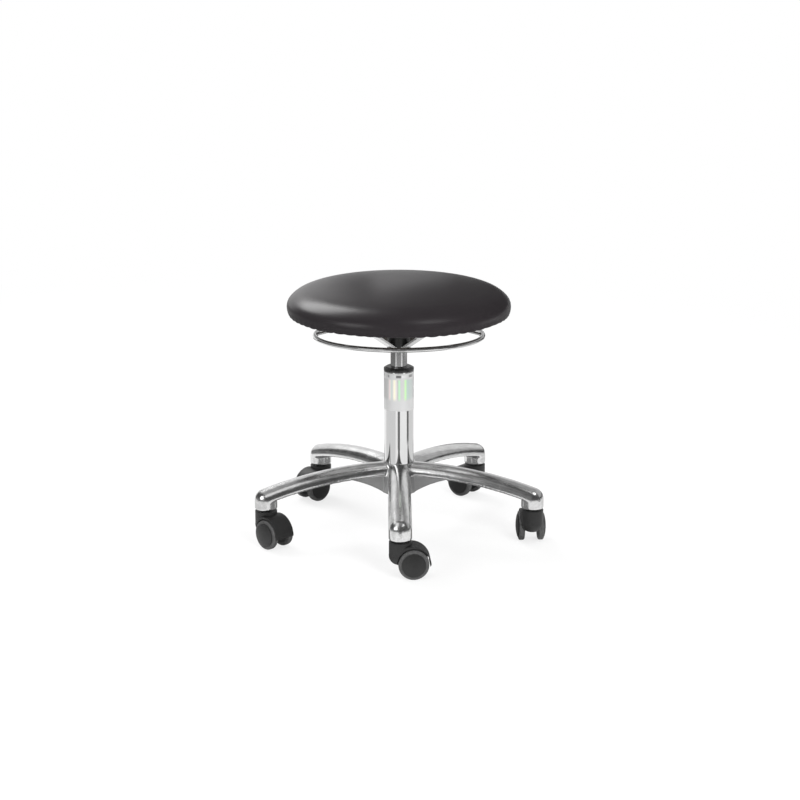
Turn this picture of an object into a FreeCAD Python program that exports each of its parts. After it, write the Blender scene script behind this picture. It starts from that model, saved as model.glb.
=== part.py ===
import FreeCAD
import Part
import math
import os

# Round upholstered swivel stool on a five-arm cast base with twin-wheel castors.
# The origin is on the column's axis at floor level, +Z is up, and the front arm points along -Y.
# All lengths are in millimetres and all angles in degrees.

os.makedirs("parts", exist_ok=True)

# Clearances
running_fit = 0.05
soft_clearance = 0.3
face_gap = 0.2
lever_play = 0.3
cut_margin = 1.0

# Twin-wheel castors
wheel_radius = 25.0
wheel_overall_width = 50.9
wheel_gap = 23.1
tread_width = 9.6
tread_depth = 5.5
tread_edge_round = 2.5
wheel_dome_radius = 70.0
castor_trail = 20.75
castor_headroom = 10.4
castor_axle_radius = 3.0
castor_axle_end_margin = 5.0
neck_radius = 18.5
neck_chamfer = 0.8
nose_floor_gap = 21.7
nose_flat_radius = 8.0
nose_round_height = 17.0
hood_wall = 5.4
hood_offset = 3.65
hood_drop = 2.2
hood_lip_rise = 5.0
hood_edge_round = 1.0
wheel_well_gap = 2.0
axle_boss_radius = 7.5
castor_web_clearance = 0.5
castor_stem_radius = 5.5
castor_stem_in_housing = 22.0
castor_stem_in_base = 24.0
castor_collar_radius = 9.0
castor_collar_thickness = 2.6
grip_ring_width = 4.0
grip_ring_depth = 0.9
grip_ring_height = 10.0

# Cast aluminium base
arm_count = 5
front_arm_angle = -89.4
arm_reach = 235.35
arm_width = 38.0
arm_flank = 2.0
arm_wall = 4.0
arm_arch_radius = 685.0
arm_rise = 27.6
boss_skirt = 13.2
hub_wall = 3.0
hub_skirt = 35.0
hub_crown = 20.5
hub_cove = 10.0
web_thickness = 5.0
web_reach = 110.0
web_foot_rise = 0.5
web_bow = 5.2
cavity_boss_wall = 3.0

# Column tube, guide bushing and label
column_radius = 25.0
column_wall = 2.0
column_floor = 4.0
column_length = 215.6
bush_flange_overhang = 0.5
bush_flange_height = 6.2
bush_chamfer_width = 4.5
bush_chamfer_height = 2.5
bush_length = 75.0
label_height = 65.0
label_sweep = 200.0
label_drop = 2.0
label_thickness = 0.2
label_glue = 0.15

# Gas spring
cylinder_radius = 14.0
cylinder_wall = 1.5
chamber_roof = 2.0
gland_height = 12.0
cylinder_exposed = 29.0
cylinder_taper_drop = 1.0
rod_radius = 5.0
rod_tail_radius = 4.0
rod_tail_length = 6.0
piston_thickness = 10.0
piston_margin = 3.0
tail_hole_clearance = 0.4
race_radius = 18.0
race_thickness = 1.0
ball_radius = 2.4
ball_count = 12
ball_circle_radius = 13.0
cage_height = 2.4
cage_width = 7.0
cage_clearance = 0.1
buffer_radius = 13.0
buffer_length = 15.7
clip_radius = 8.0
clip_thickness = 1.2
clip_groove_depth = 0.8
clip_mouth = 6.0

# Release pin, lever bracket and ring lever
pin_radius = 3.5
pin_dome_radius = 5.0
pin_hole_depth = 14.0
pin_free_travel = 5.0
socket_wall = 5.2
socket_length = 50.0
socket_lead_in = 4.0
bracket_thickness = 2.5
bracket_half_width = 19.5
bracket_tongue_half_width = 13.0
bracket_rear = 14.0
bracket_hole_radius = 6.0
ear_thickness = 2.5
ear_width = 9.0
ear_rim = 1.8
lever_arm = 25.0
lever_rest_tilt = 3.4
lever_plate_thickness = 2.5
lever_plate_tail = 11.0
lever_plate_clearance = 1.0
lever_eye_radius = 3.0
pivot_pin_radius = 2.0
pivot_height = 8.4
pivot_head_radius = 3.2
pivot_head_thickness = 1.2
ring_radius = 141.0
ring_wire_radius = 4.0
ring_drop = 36.2
spoke_radius = 2.4
spoke_lift = 1.2

# Steel support arms under the seat
support_count = 4
support_first_angle = 45.0
support_width = 20.0
support_thickness = 3.0
support_foot = 3.8
support_pad_length = 32.0
pad_hem_clearance = 9.0
pad_hole_clearance = 0.3

# Seat board, fasteners, foam and cover
ear_board_gap = 1.1
board_inset = 11.5
board_thickness = 12.0
board_edge_round = 2.0
bolt_radius = 3.0
bolt_head_radius = 5.0
bolt_head_height = 3.6
bolt_hex_across_flats = 4.0
bolt_hex_depth = 2.0
bolt_length = 14.0
tee_nut_barrel_radius = 4.0
tee_nut_flange_radius = 8.5
tee_nut_flange_thickness = 1.2
seat_height_above_board = 49.5
seat_radius = 187.5
cover_thickness = 1.2
crown_turn = 6.0
dome_radius = 520.0
dome_turn = 9.0
slope_radius = 84.0
slope_turn = 22.0
shoulder_radius = 48.0
shoulder_turn = 48.0
edge_radius = 17.5
edge_turn = 90.0
side_radius = 25.0
hem_width = 30.0
staple_count = 24
staple_span = 10.0
staple_wire = 1.2
staple_leg = 6.0
staple_inset = 12.0

# Direction of each arm's castor: from its stem to its wheels, seen from above, counted from +X
castor_headings = (3.5, 93.0, 140.0, 225.0, -47.0)
castor_names = ("front", "right_front", "right_rear", "left_rear", "left_front")

# Heights and places that follow from the sizes above
wheel_inner_face = wheel_gap / 2.0
castor_height = 2.0 * wheel_radius + castor_headroom
well_radius = wheel_radius + wheel_well_gap
hood_radius = well_radius + hood_wall
tread_inner_radius = wheel_radius - tread_depth
collar_bottom_z = castor_height + face_gap
boss_bottom_z = collar_bottom_z + castor_collar_thickness
grip_ring_low_z = boss_bottom_z + grip_ring_height
grip_ring_high_z = grip_ring_low_z + grip_ring_width
grip_ring_inner_radius = castor_stem_radius - grip_ring_depth
castor_socket_radius = castor_stem_radius + grip_ring_depth
arm_tip_z = boss_bottom_z + boss_skirt
arm_root_z = arm_tip_z + arm_rise
hub_radius = column_radius + hub_wall
hub_bottom_z = arm_root_z - hub_skirt
hub_top_z = arm_root_z + hub_crown
clip_inner_radius = rod_tail_radius - clip_groove_depth
clip_high_z = hub_bottom_z - face_gap
clip_low_z = clip_high_z - clip_thickness
column_top_z = hub_bottom_z + column_length
bush_top_z = column_top_z + bush_flange_height
column_inner_radius = column_radius - column_wall
bush_flange_radius = column_radius + bush_flange_overhang
race_low_z = hub_bottom_z + column_floor
balls_z = race_low_z + race_thickness + ball_radius
race_high_z = balls_z + ball_radius
buffer_low_z = race_high_z + race_thickness
cylinder_inner_radius = cylinder_radius - cylinder_wall
cylinder_top_radius = cylinder_radius - cylinder_taper_drop
buffer_high_z = buffer_low_z + buffer_length
cylinder_bottom_z = buffer_high_z + soft_clearance
stroke = bush_top_z - bush_length - cylinder_bottom_z
socket_bottom_z = bush_top_z + cylinder_exposed
socket_top_z = socket_bottom_z + socket_length
socket_radius = cylinder_radius + socket_wall
gland_high_z = cylinder_bottom_z + gland_height
piston_low_z = gland_high_z + stroke + piston_margin
piston_high_z = piston_low_z + piston_thickness
bracket_top_z = socket_top_z + bracket_thickness
pivot_z = bracket_top_z + pivot_height
pivot_y = -lever_arm
ear_high_z = pivot_z + pivot_pin_radius + ear_rim
board_radius = seat_radius - board_inset
board_low_z = ear_high_z + ear_board_gap
board_high_z = board_low_z + board_thickness
hem_high_z = board_low_z - face_gap
hem_low_z = hem_high_z - cover_thickness
hem_inner_radius = board_radius - hem_width
seat_top_z = board_low_z + seat_height_above_board
pad_low_z = board_low_z - support_thickness
pad_hole_radius = bolt_radius + pad_hole_clearance
support_bend_reach = hem_inner_radius - pad_hem_clearance - support_pad_length
bolt_circle_radius = support_bend_reach + 0.5 * support_pad_length
lever_half_width = bracket_half_width - ear_thickness - lever_plate_clearance
tilt = math.radians(lever_rest_tilt)
pin_top_z = (
    pivot_z
    - lever_arm * math.tan(tilt)
    - 0.5 * lever_plate_thickness / math.cos(tilt)
    - lever_play
)


def vector(x, y, z):
    return FreeCAD.Vector(x, y, z)


ORIGIN = vector(0, 0, 0)
UP = vector(0, 0, 1)
ALONG_X = vector(1, 0, 0)
ALONG_Y = vector(0, 1, 0)


def post(radius, low, high):
    """Upright round bar between two heights."""
    return Part.makeCylinder(radius, high - low, vector(0, 0, low), UP)


def tube(outer, inner, low, high):
    """Upright round tube between two heights."""
    return post(outer, low, high).cut(post(inner, low - cut_margin, high + cut_margin))


def crossbar(radius, half_length, x, z, y=0.0):
    """Round bar along Y, centred on y."""
    return Part.makeCylinder(radius, 2.0 * half_length, vector(x, y - half_length, z), ALONG_Y)


def pivot_bar(radius, start, end):
    """Round bar along X on the lever's pivot axis."""
    return Part.makeCylinder(radius, end - start, vector(start, pivot_y, pivot_z), ALONG_X)


def block(low, high):
    """Box between two corners."""
    size = [b - a for a, b in zip(low, high)]
    return Part.makeBox(size[0], size[1], size[2], vector(*low))


def turned(edges):
    """Solid of revolution about Z from closed edges in the XZ plane."""
    face = Part.Face(Part.Wire(Part.sortEdges(edges)[0]))
    return face.revolve(ORIGIN, UP, 360)


def outline(points):
    """Closed chain of straight edges through points of the XZ plane."""
    corners = [vector(x, 0, z) for x, z in points]
    corners.append(corners[0])
    return [Part.LineSegment(a, b).toShape() for a, b in zip(corners, corners[1:])]


def slab(half_width, points):
    """Prism with corners in the XZ plane, centred on it."""
    face = Part.Face(Part.Wire(outline(points)))
    prism = face.extrude(vector(0, 2.0 * half_width, 0))
    prism.translate(vector(0, -half_width, 0))
    return prism


def repeated(shape, count, first=0.0, reach=0.0):
    """Copies of a shape, moved out along X and then turned about Z in equal steps."""
    copies = []
    for index in range(count):
        copy = shape.copy()
        copy.translate(vector(reach, 0, 0))
        copy.rotate(ORIGIN, UP, first + 360.0 * index / count)
        copies.append(copy)
    return copies


def save(shape, name):
    shape.exportStep("parts/" + name + ".step")
    print(name, len(shape.Solids), shape.isValid(), round(shape.Volume))


# Base


def arch_centre():
    """Centre of the arc that an arm's underside follows, in the arm's own XZ plane."""
    mid_x = 0.5 * (hub_radius + arm_reach)
    mid_z = 0.5 * (arm_root_z + arm_tip_z)
    half_x = 0.5 * (arm_reach - hub_radius)
    half_z = 0.5 * (arm_tip_z - arm_root_z)
    half_chord = math.hypot(half_x, half_z)
    drop = math.sqrt(arm_arch_radius**2 - half_chord**2)
    return mid_x + drop * half_z / half_chord, mid_z - drop * half_x / half_chord


def arch_turn(x, height):
    """Turn of the arch, from its top, at which a line this high above the underside is at x."""
    return math.degrees(math.asin((x - arch_centre()[0]) / (arm_arch_radius + height)))


def arched_bar(half_width, low, flank, start, end):
    """Half-round bar with upright flanks, bent along the arch between two turns."""
    cx, cz = arch_centre()
    base = cz + arm_arch_radius + low
    shoulder = cz + arm_arch_radius + flank
    corners = [
        vector(cx, half_width, shoulder),
        vector(cx, half_width, base),
        vector(cx, -half_width, base),
        vector(cx, -half_width, shoulder),
    ]
    edges = [Part.LineSegment(a, b).toShape() for a, b in zip(corners, corners[1:])]
    crest = vector(cx, 0, shoulder + half_width)
    edges.append(Part.Arc(corners[3], crest, corners[0]).toShape())
    section = Part.Face(Part.Wire(edges))
    centre = vector(cx, 0, cz)
    section.rotate(centre, ALONG_Y, start)
    return section.revolve(centre, ALONG_Y, end - start)


def boss():
    """Domed round end of an arm that holds a castor's stem."""
    cx, cz = arch_centre()
    turn = math.radians(arch_turn(arm_reach, arm_flank))
    centre_z = cz + (arm_arch_radius + arm_flank) * math.cos(turn)
    radius = 0.5 * arm_width
    slant = radius * math.sqrt(0.5)
    skirt = outline(((0, boss_bottom_z), (radius, boss_bottom_z), (radius, centre_z)))[:2]
    dome = Part.Arc(
        vector(radius, 0, centre_z),
        vector(slant, 0, centre_z + slant),
        vector(0, 0, centre_z + radius),
    ).toShape()
    axis = Part.LineSegment(vector(0, 0, centre_z + radius), vector(0, 0, boss_bottom_z)).toShape()
    solid = turned(skirt + [dome, axis])
    solid.translate(vector(arm_reach, 0, 0))
    return solid


def web():
    """Upright gusset between an arm and the hub, with a bowed lower edge."""
    foot = vector(0.5 * (column_radius + hub_radius), 0, hub_bottom_z + web_foot_rise)
    cx, cz = arch_centre()
    tip_z = cz + math.sqrt((arm_arch_radius + arm_flank) ** 2 - (web_reach - cx) ** 2)
    tip = vector(web_reach, 0, tip_z)
    chord = tip.sub(foot)
    normal = vector(-chord.z, 0, chord.x).normalize()
    middle = foot.add(chord.multiply(0.5)).add(normal.multiply(web_bow))
    heel = vector(foot.x, 0, tip_z)
    edges = [
        Part.Arc(foot, middle, tip).toShape(),
        Part.LineSegment(tip, heel).toShape(),
        Part.LineSegment(heel, foot).toShape(),
    ]
    plate = Part.Face(Part.Wire(edges)).extrude(vector(0, web_thickness, 0))
    plate.translate(vector(0, -0.5 * web_thickness, 0))
    return plate


def hub():
    """Sleeve for the column, with a coved collar that fills the corners between the arms."""
    collar = hub_radius + hub_cove
    slant = 1.0 - math.sqrt(0.5)
    cove = Part.Arc(
        vector(collar, 0, arm_root_z),
        vector(hub_radius + hub_cove * slant, 0, arm_root_z + hub_crown * slant),
        vector(hub_radius, 0, hub_top_z),
    ).toShape()
    edges = outline((
        (hub_radius, hub_top_z),
        (0, hub_top_z),
        (0, hub_bottom_z),
        (hub_radius, hub_bottom_z),
        (hub_radius, arm_root_z),
        (collar, arm_root_z),
    ))[:5]
    return turned(edges + [cove])


def base_star():
    """Five cored arms on a hub, with gussets below and bores for the column and the castor stems."""
    start = arch_turn(0.5 * hub_radius, arm_flank)
    end = arch_turn(arm_reach, arm_flank)
    arm = arched_bar(0.5 * arm_width, 0.0, arm_flank, start, end)
    cavity_start = arch_turn(hub_radius + arm_wall + 0.5 * arm_width, arm_flank)
    cavity_end = arch_turn(arm_reach - castor_socket_radius - cavity_boss_wall, arm_flank)
    cavity = arched_bar(0.5 * arm_width - arm_wall, -arm_flank, arm_flank, cavity_start, cavity_end)
    star = hub().fuse(
        repeated(arm, arm_count, front_arm_angle)
        + repeated(boss(), arm_count, front_arm_angle)
    )
    star = star.cut(repeated(cavity, arm_count, front_arm_angle))
    star = star.fuse(repeated(web(), arm_count, front_arm_angle))
    column_bore = post(column_radius, hub_bottom_z - cut_margin, hub_top_z + arm_width)
    stem_bore = post(castor_socket_radius, boss_bottom_z - cut_margin, boss_bottom_z + castor_stem_in_base)
    stem_bores = repeated(stem_bore, arm_count, front_arm_angle, arm_reach)
    return star.cut([column_bore] + stem_bores).removeSplitter()


# Castor stems


def castor_stems():
    """Steel stems with a collar under the arm and a groove for the grip ring."""
    stem_high = boss_bottom_z + castor_stem_in_base - face_gap
    stem = post(castor_stem_radius, castor_height - castor_stem_in_housing, stem_high)
    stem = stem.fuse(post(castor_collar_radius, collar_bottom_z, boss_bottom_z))
    groove_edge = castor_stem_radius + cut_margin
    stem = stem.cut(tube(groove_edge, grip_ring_inner_radius, grip_ring_low_z, grip_ring_high_z))
    return Part.makeCompound(repeated(stem, arm_count, front_arm_angle, arm_reach))


def stem_grip_rings():
    """Split spring rings that hold the stems in the base."""
    ring = tube(castor_socket_radius, grip_ring_inner_radius, grip_ring_low_z, grip_ring_high_z)
    slit = block(
        (0, -grip_ring_depth, grip_ring_low_z - cut_margin),
        (castor_socket_radius + cut_margin, grip_ring_depth, grip_ring_high_z + cut_margin),
    )
    return Part.makeCompound(repeated(ring.cut(slit), arm_count, front_arm_angle, arm_reach))


# Castor, built with its stem on Z and its wheels towards +X, then turned and moved to its arm


def castor_housing():
    """Neck and nose turned about the stem, with a hood over both wheels and a web between them."""
    half_web = wheel_inner_face - castor_web_clearance
    hood_x = castor_trail - hood_offset
    nose_top = nose_floor_gap + nose_round_height
    slant = math.sqrt(0.5)
    profile = outline((
        (0, castor_height),
        (0, nose_floor_gap),
        (nose_flat_radius, nose_floor_gap),
    ))[:2]
    profile.append(Part.Arc(
        vector(nose_flat_radius, 0, nose_floor_gap),
        vector(
            nose_flat_radius + (neck_radius - nose_flat_radius) * slant,
            0,
            nose_floor_gap + nose_round_height * (1.0 - slant),
        ),
        vector(neck_radius, 0, nose_top),
    ).toShape())
    profile += outline((
        (neck_radius, nose_top),
        (neck_radius, castor_height - neck_chamfer),
        (neck_radius - neck_chamfer, castor_height),
        (0, castor_height),
    ))[:3]
    hood = crossbar(hood_radius, neck_radius, hood_x, wheel_radius - hood_drop)
    rims = [edge for edge in hood.Edges if isinstance(edge.Curve, Part.Circle)]
    hood = hood.makeFillet(hood_edge_round, rims)
    far = hood_x + hood_radius + cut_margin
    hood = hood.common(slab(neck_radius + cut_margin, (
        (0, nose_floor_gap),
        (castor_trail + well_radius, nose_floor_gap),
        (far, nose_floor_gap + hood_lip_rise),
        (far, castor_height),
        (0, castor_height),
    )))
    body = turned(profile).fuse(hood)
    wells = []
    for side in (-1, 1):
        middle = side * (half_web + neck_radius)
        wells.append(crossbar(well_radius, neck_radius, castor_trail, wheel_radius, middle))
    body = body.cut(wells)
    rear = crossbar(well_radius, half_web + cut_margin, castor_trail, wheel_radius)
    rear = rear.common(block(
        (castor_trail + axle_boss_radius, -neck_radius, 0),
        (castor_trail + well_radius, neck_radius, wheel_radius + well_radius),
    ))
    body = body.cut(rear)
    body = body.fuse(crossbar(axle_boss_radius, half_web, castor_trail, wheel_radius))
    body = body.cut([
        crossbar(castor_axle_radius, neck_radius, castor_trail, wheel_radius),
        post(
            castor_stem_radius + running_fit,
            castor_height - castor_stem_in_housing - face_gap,
            castor_height + cut_margin,
        ),
    ])
    return body.removeSplitter()


def castor_axle():
    half = 0.5 * wheel_overall_width - castor_axle_end_margin
    return crossbar(castor_axle_radius, half, castor_trail, wheel_radius)


def castor_wheel():
    """Black wheel disc with its domed outer face, built about Z with its inner face at zero."""
    depth = 0.5 * wheel_overall_width - wheel_inner_face
    dome_rise = wheel_dome_radius - math.sqrt(wheel_dome_radius**2 - tread_inner_radius**2)
    shoulder = depth - dome_rise
    half_x = 0.5 * tread_inner_radius
    half_rise = wheel_dome_radius - math.sqrt(wheel_dome_radius**2 - half_x**2)
    profile = outline((
        (0, depth),
        (0, 0),
        (tread_inner_radius, 0),
        (tread_inner_radius, shoulder),
    ))[:3]
    profile.append(Part.Arc(
        vector(tread_inner_radius, 0, shoulder),
        vector(half_x, 0, depth - half_rise),
        vector(0, 0, depth),
    ).toShape())
    axle_depth = depth - castor_axle_end_margin + face_gap
    bore = post(castor_axle_radius + running_fit, -cut_margin, axle_depth)
    return turned(profile).cut(bore)


def castor_tread():
    """Soft grey tread ring, built about Z like the wheel disc."""
    tread = post(wheel_radius, 0, tread_width)
    rims = [edge for edge in tread.Edges if isinstance(edge.Curve, Part.Circle)]
    tread = tread.makeFillet(tread_edge_round, rims)
    return tread.cut(post(tread_inner_radius, -cut_margin, tread_width + cut_margin))


def on_axle(shape, side):
    """Wheel part built about Z, laid on the castor's axle on one side."""
    copy = shape.copy()
    copy.rotate(ORIGIN, ALONG_X, -90 * side)
    copy.translate(vector(castor_trail, side * wheel_inner_face, wheel_radius))
    return copy


def save_castors():
    parts = {
        "housing": castor_housing(),
        "axle": castor_axle(),
        "wheel_a": on_axle(castor_wheel(), 1),
        "tread_a": on_axle(castor_tread(), 1),
        "wheel_b": on_axle(castor_wheel(), -1),
        "tread_b": on_axle(castor_tread(), -1),
    }
    for index, name in enumerate(castor_names):
        angle = math.radians(front_arm_angle + 360.0 * index / arm_count)
        stem_axis = vector(arm_reach * math.cos(angle), arm_reach * math.sin(angle), 0)
        for part, shape in parts.items():
            copy = shape.copy()
            copy.rotate(ORIGIN, UP, castor_headings[index])
            copy.translate(stem_axis)
            save(copy, name + "_castor_" + part)


# Column


def column_tube():
    """Chromed tube with a floor that the piston rod's tail passes through."""
    shell = post(column_radius, hub_bottom_z, column_top_z)
    chamber = post(column_inner_radius, race_low_z, column_top_z + cut_margin)
    hole_radius = rod_tail_radius + tail_hole_clearance
    tail_hole = post(hole_radius, hub_bottom_z - cut_margin, race_low_z + cut_margin)
    return shell.cut([chamber, tail_hole])


def guide_bushing():
    """Plastic bush that guides the gas cylinder, with a chamfered flange on the tube's top."""
    inner = cylinder_radius + running_fit
    return turned(outline((
        (inner, column_top_z - bush_length),
        (column_inner_radius, column_top_z - bush_length),
        (column_inner_radius, column_top_z),
        (bush_flange_radius, column_top_z),
        (bush_flange_radius, bush_top_z - bush_chamfer_height),
        (bush_flange_radius - bush_chamfer_width, bush_top_z),
        (inner, bush_top_z),
    )))


def column_label():
    """Thin foil label round the front of the tube."""
    high = column_top_z - label_drop
    low = high - label_height
    inner = column_radius + label_glue
    foil = tube(inner + label_thickness, inner, low, high)
    far = 2.0 * column_radius
    half = math.radians(0.5 * label_sweep)
    wedge = Part.Face(Part.makePolygon([
        vector(0, 0, low),
        vector(far * math.sin(half), -far * math.cos(half), low),
        vector(0, -far, low),
        vector(-far * math.sin(half), -far * math.cos(half), low),
        vector(0, 0, low),
    ])).extrude(vector(0, 0, label_height))
    return foil.common(wedge)


# Gas spring


def piston_rod():
    """Rod with its piston, and a thinner tail with a groove for the clip below the tube."""
    rod = post(rod_tail_radius, hub_bottom_z - rod_tail_length, buffer_low_z)
    rod = rod.fuse(post(rod_radius, buffer_low_z, piston_high_z))
    rod = rod.fuse(post(cylinder_inner_radius - running_fit, piston_low_z, piston_high_z))
    groove = tube(rod_radius, clip_inner_radius, clip_low_z, clip_high_z)
    return rod.cut(groove)


def retaining_clip():
    """Spring clip, open on one side, that holds the rod under the tube's floor."""
    clip = tube(clip_radius, clip_inner_radius, clip_low_z, clip_high_z)
    mouth = block(
        (0, -0.5 * clip_mouth, clip_low_z - cut_margin),
        (clip_radius + cut_margin, 0.5 * clip_mouth, clip_high_z + cut_margin),
    )
    return clip.cut(mouth)


def thrust_race_lower():
    """Hardened washer on the tube's floor."""
    return tube(race_radius, rod_radius, race_low_z, race_low_z + race_thickness)


def thrust_race_upper():
    """Hardened washer on the balls, under the rod's shoulder."""
    return tube(race_radius, rod_tail_radius, race_high_z, buffer_low_z)


def thrust_balls():
    ball = Part.makeSphere(ball_radius - 0.5 * running_fit, vector(0, 0, balls_z))
    return Part.makeCompound(repeated(ball, ball_count, 0.0, ball_circle_radius))


def thrust_cage():
    """Flat ring with a pocket for each ball."""
    low = balls_z - 0.5 * cage_height
    high = balls_z + 0.5 * cage_height
    half = 0.5 * cage_width
    cage = tube(ball_circle_radius + half, ball_circle_radius - half, low, high)
    pocket = post(ball_radius + cage_clearance, low - cut_margin, high + cut_margin)
    return cage.cut(repeated(pocket, ball_count, 0.0, ball_circle_radius))


def rubber_buffer():
    """Rubber sleeve that stops the cylinder at the bottom of its stroke."""
    return tube(buffer_radius, rod_radius + soft_clearance, buffer_low_z, buffer_high_z)


def gas_cylinder():
    """Cylinder with its tapered upper end, bored for the rod's chamber and the release pin."""
    shell = turned(outline((
        (0, cylinder_bottom_z),
        (cylinder_radius, cylinder_bottom_z),
        (cylinder_radius, socket_bottom_z),
        (cylinder_top_radius, socket_top_z),
        (0, socket_top_z),
    )))
    pin_hole_low = socket_top_z - pin_hole_depth
    pin_hole = post(pin_radius + running_fit, pin_hole_low, socket_top_z + cut_margin)
    chamber = post(cylinder_inner_radius, cylinder_bottom_z - cut_margin, pin_hole_low - chamber_roof)
    return shell.cut([chamber, pin_hole])


def cylinder_gland():
    """Plug in the cylinder's lower end that guides the rod."""
    return tube(cylinder_inner_radius, rod_radius + running_fit, cylinder_bottom_z, gland_high_z)


def release_pin():
    """Valve pin with a domed head under the lever plate."""
    low = socket_top_z - pin_hole_depth + pin_free_travel
    dome_z = pin_top_z - pin_dome_radius
    dome = Part.makeSphere(pin_dome_radius, vector(0, 0, dome_z))
    return post(pin_radius, low, pin_top_z).common(dome.fuse(post(pin_dome_radius, low, dome_z)))


# Taper socket, bracket and support arms


def taper_socket():
    """Steel tube with a tapered bore that sits on the cylinder's end."""
    return turned(outline((
        (cylinder_radius, socket_bottom_z),
        (socket_radius - socket_lead_in, socket_bottom_z),
        (socket_radius, socket_bottom_z + socket_lead_in),
        (socket_radius, socket_top_z),
        (cylinder_top_radius, socket_top_z),
    )))


def lever_bracket():
    """Plate on the socket's top, narrowed between the spokes, with two ears for the lever's pivot pin."""
    front = pivot_y - 0.5 * ear_width
    rear = pivot_y + 0.5 * ear_width
    ear_inner = bracket_half_width - ear_thickness
    bracket = block(
        (-bracket_tongue_half_width, rear, socket_top_z),
        (bracket_tongue_half_width, bracket_rear, bracket_top_z),
    )
    bracket = bracket.cut(post(bracket_hole_radius, socket_top_z - cut_margin, bracket_top_z + cut_margin))
    bracket = bracket.fuse([
        block((-bracket_half_width, front, socket_top_z), (bracket_half_width, rear, bracket_top_z)),
        block((-bracket_half_width, front, bracket_top_z), (-ear_inner, rear, ear_high_z)),
        block((ear_inner, front, bracket_top_z), (bracket_half_width, rear, ear_high_z)),
    ])
    half_bore = bracket_half_width + cut_margin
    return bracket.cut(pivot_bar(pivot_pin_radius, -half_bore, half_bore)).removeSplitter()


def lever_pivot_pin():
    """Riveted pin through both ears."""
    half = bracket_half_width
    return pivot_bar(pivot_pin_radius, -half, half).fuse([
        pivot_bar(pivot_head_radius, -half - pivot_head_thickness, -half),
        pivot_bar(pivot_head_radius, half, half + pivot_head_thickness),
    ])


def support_arms():
    """Four bent flat bars, welded to the socket's foot and bolted under the seat board."""
    half = 0.5 * support_width
    root_x = math.sqrt(socket_radius**2 - half**2)
    foot_low = socket_bottom_z + socket_lead_in
    foot_high = foot_low + support_foot
    end_x = support_bend_reach + support_pad_length
    slope = math.atan2(pad_low_z - foot_low, support_bend_reach - root_x)
    shift = support_thickness * math.tan(0.5 * slope)
    bar = slab(half, (
        (0, foot_low),
        (root_x, foot_low),
        (support_bend_reach, pad_low_z),
        (end_x, pad_low_z),
        (end_x, board_low_z),
        (support_bend_reach - shift, board_low_z),
        (root_x, foot_high),
        (0, foot_high),
    ))
    bolt_hole = post(pad_hole_radius, pad_low_z - cut_margin, board_high_z)
    bolt_hole.translate(vector(bolt_circle_radius, 0, 0))
    bar = bar.cut([post(socket_radius, socket_bottom_z, socket_top_z), bolt_hole])
    return Part.makeCompound(repeated(bar, support_count, support_first_angle))


# Ring lever, built level and then tilted about the pivot pin


def tilted(shape):
    copy = shape.copy()
    copy.rotate(vector(0, pivot_y, pivot_z), ALONG_X, -lever_rest_tilt)
    return copy


def ring_centre():
    """Centre of the ring before the lever is tilted, so that it ends on the column's axis."""
    y = pivot_y + lever_arm * math.cos(tilt) + ring_drop * math.sin(tilt)
    z = pivot_z + lever_arm * math.sin(tilt) - ring_drop * math.cos(tilt)
    return vector(0, y, z)


def ring_wire():
    return Part.makeTorus(ring_radius, ring_wire_radius, ring_centre(), UP)


def lever_plate():
    """Flat plate with an eye for the pivot pin; it lies over the release pin."""
    half = lever_half_width
    plate = block(
        (-half, pivot_y, pivot_z - 0.5 * lever_plate_thickness),
        (half, ring_centre().y + lever_plate_tail, pivot_z + 0.5 * lever_plate_thickness),
    )
    bore = pivot_bar(pivot_pin_radius + running_fit, -half - cut_margin, half + cut_margin)
    return tilted(plate.fuse(pivot_bar(lever_eye_radius, -half, half)).cut(bore))


def lever_spokes():
    """Two slanting wires, coped to the ring and butted against the edges of the lever plate."""
    centre = ring_centre()
    reach = lever_half_width
    inside_plate = block(
        (-reach, centre.y - reach, pivot_z - reach),
        (reach, centre.y + reach, pivot_z + reach),
    )
    spokes = []
    for side in (-1, 1):
        inner = vector(0, centre.y, pivot_z + spoke_lift)
        run = vector(side * ring_radius, centre.y, centre.z).sub(inner)
        wire = Part.makeCylinder(spoke_radius, run.Length, inner, run)
        spokes.append(tilted(wire.cut([inside_plate, ring_wire()])))
    return Part.makeCompound(spokes)


# Seat


def seat_board():
    """Round plywood board with its rims rounded and four holes for the tee nuts."""
    board = post(board_radius, board_low_z, board_high_z)
    rims = [edge for edge in board.Edges if isinstance(edge.Curve, Part.Circle)]
    board = board.makeFillet(board_edge_round, rims)
    hole = post(tee_nut_barrel_radius, board_low_z - cut_margin, board_high_z + cut_margin)
    return board.cut(repeated(hole, support_count, support_first_angle, bolt_circle_radius))


def mounting_bolts():
    """Socket-head bolts through the support arms' pads."""
    head_low = pad_low_z - bolt_head_height
    bolt = post(bolt_radius, pad_low_z, pad_low_z + bolt_length)
    bolt = bolt.fuse(post(bolt_head_radius, head_low, pad_low_z))
    corner = bolt_hex_across_flats / math.sqrt(3.0)
    turns = [math.radians(60 * i) for i in range(7)]
    hexagon = [vector(corner * math.cos(t), corner * math.sin(t), head_low) for t in turns]
    recess = Part.Face(Part.makePolygon(hexagon)).extrude(vector(0, 0, bolt_hex_depth))
    bolt = bolt.cut(recess)
    return Part.makeCompound(repeated(bolt, support_count, support_first_angle, bolt_circle_radius))


def tee_nuts():
    """Flanged barrel nuts pressed into the board from above."""
    barrel_low = board_low_z + face_gap
    flange_high = board_high_z + tee_nut_flange_thickness
    nut = post(tee_nut_barrel_radius, barrel_low, board_high_z)
    nut = nut.fuse(post(tee_nut_flange_radius, board_high_z, flange_high))
    nut = nut.cut(post(bolt_radius, barrel_low - cut_margin, flange_high + cut_margin))
    return Part.makeCompound(repeated(nut, support_count, support_first_angle, bolt_circle_radius))


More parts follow.
